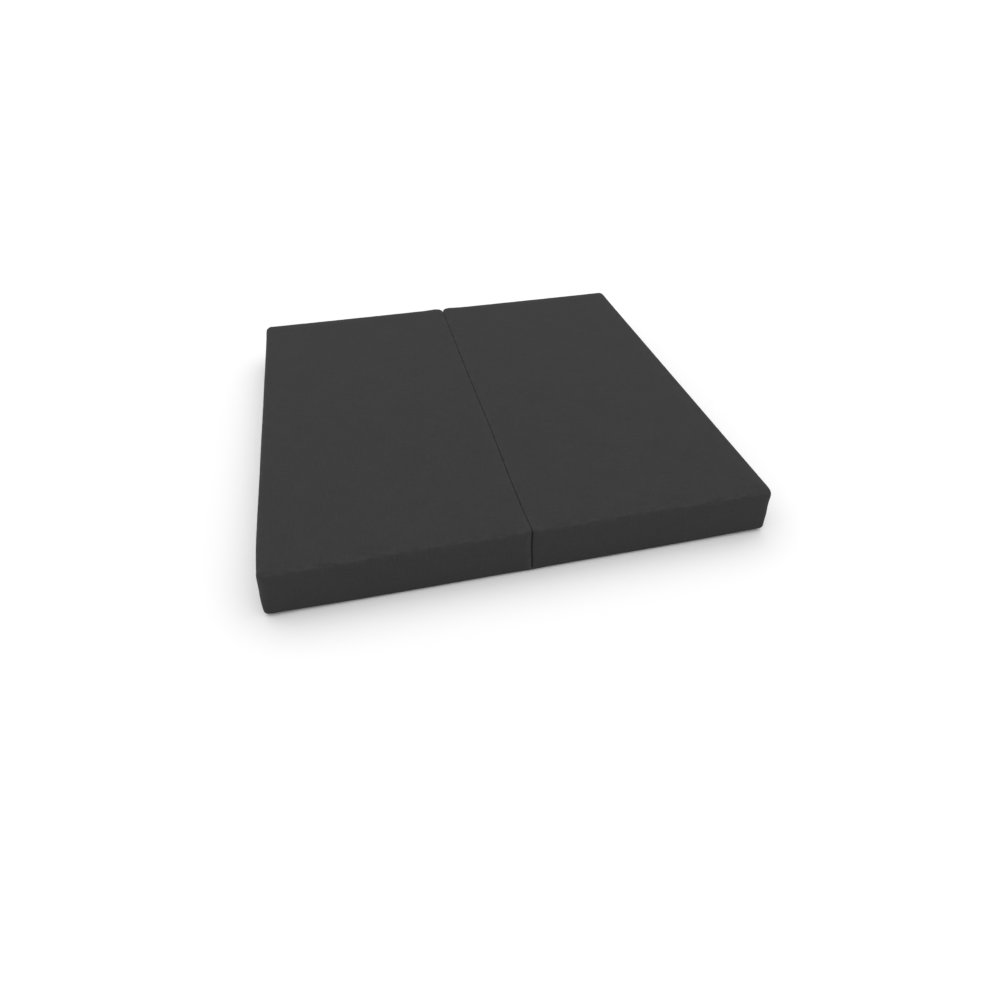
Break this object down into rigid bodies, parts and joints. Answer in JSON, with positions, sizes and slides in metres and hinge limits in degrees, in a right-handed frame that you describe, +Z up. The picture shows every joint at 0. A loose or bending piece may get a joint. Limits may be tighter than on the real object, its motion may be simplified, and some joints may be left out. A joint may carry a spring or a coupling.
{
  "type": "futon mattress",
  "caption": "Square folding futon mattress made of side-by-side foam slabs in zipped charcoal cloth covers, hinged along the underside so that they fold flat.",
  "frame": {"origin": "on the floor, under the middle of the fold", "axes": "+X across to the right half, +Y to the zip side at the back, +Z up through the thickness"},
  "size_m": [1.4, 1.4046, 0.15],
  "materials": {
    "cover_cloth": "matt charcoal plain weave",
    "hinge_cloth": "matt charcoal plain weave",
    "foam": "open-cell polyurethane foam",
    "wadding": "loose white fibre",
    "liner": "thin spunbonded cloth",
    "zip_tape": "black woven tape",
    "zip_coil": "black nylon",
    "zip_metal": "dark satin",
    "label_cloth": "plain off-white tape"
  },
  "bodies": {
    "left_half": {"left_foam_core": "foam", "left_upper_wadding": "wadding", "left_lower_wadding": "wadding", "left_inner_liner": "liner", "left_cover_top": "cover_cloth", "left_cover_underside": "cover_cloth", "left_cover_border": "cover_cloth", "left_zip_panel_upper": "cover_cloth", "left_zip_panel_lower": "cover_cloth", "left_zip_tape_upper": "zip_tape", "left_zip_tape_lower": "zip_tape", "left_zip_coil_upper": "zip_coil", "left_zip_coil_lower": "zip_coil", "left_zip_stop_closed": "zip_metal", "left_zip_stop_open": "zip_metal", "left_hinge_flap": "hinge_cloth", "care_label": "label_cloth"},
    "right_half": {"right_foam_core": "foam", "right_upper_wadding": "wadding", "right_lower_wadding": "wadding", "right_inner_liner": "liner", "right_cover_top": "cover_cloth", "right_cover_underside": "cover_cloth", "right_cover_border": "cover_cloth", "right_zip_panel_upper": "cover_cloth", "right_zip_panel_lower": "cover_cloth", "right_zip_tape_upper": "zip_tape", "right_zip_tape_lower": "zip_tape", "right_zip_coil_upper": "zip_coil", "right_zip_coil_lower": "zip_coil", "right_zip_stop_closed": "zip_metal", "right_zip_stop_open": "zip_metal", "right_hinge_flap": "hinge_cloth"},
    "left_slider": {"left_zip_slider": "zip_metal"},
    "left_pull": {"left_zip_pull": "zip_metal"},
    "right_slider": {"right_zip_slider": "zip_metal"},
    "right_pull": {"right_zip_pull": "zip_metal"}
  },
  "joints": [
    {"name": "panel_fold", "type": "hinge", "parent": "left_half", "child": "right_half", "pos_m": [0, 0, -0.0005], "axis": [0, 1, 0], "range_deg": [0, 179]},
    {"name": "left_zip_slide", "type": "slide", "parent": "left_half", "child": "left_slider", "axis": [-1, 0, 0], "range_m": [0, 0.566]},
    {"name": "left_pull_hinge", "type": "hinge", "parent": "left_slider", "child": "left_pull", "pos_m": [-0.068, 0.7026, 0.075], "axis": [0, 0, -1], "range_deg": [0, 180]},
    {"name": "right_zip_slide", "type": "slide", "parent": "right_half", "child": "right_slider", "axis": [-1, 0, 0], "range_m": [0, 0.566]},
    {"name": "right_pull_hinge", "type": "hinge", "parent": "right_slider", "child": "right_pull", "pos_m": [0.634, 0.7026, 0.075], "axis": [0, 0, -1], "range_deg": [0, 180]}
  ]
}
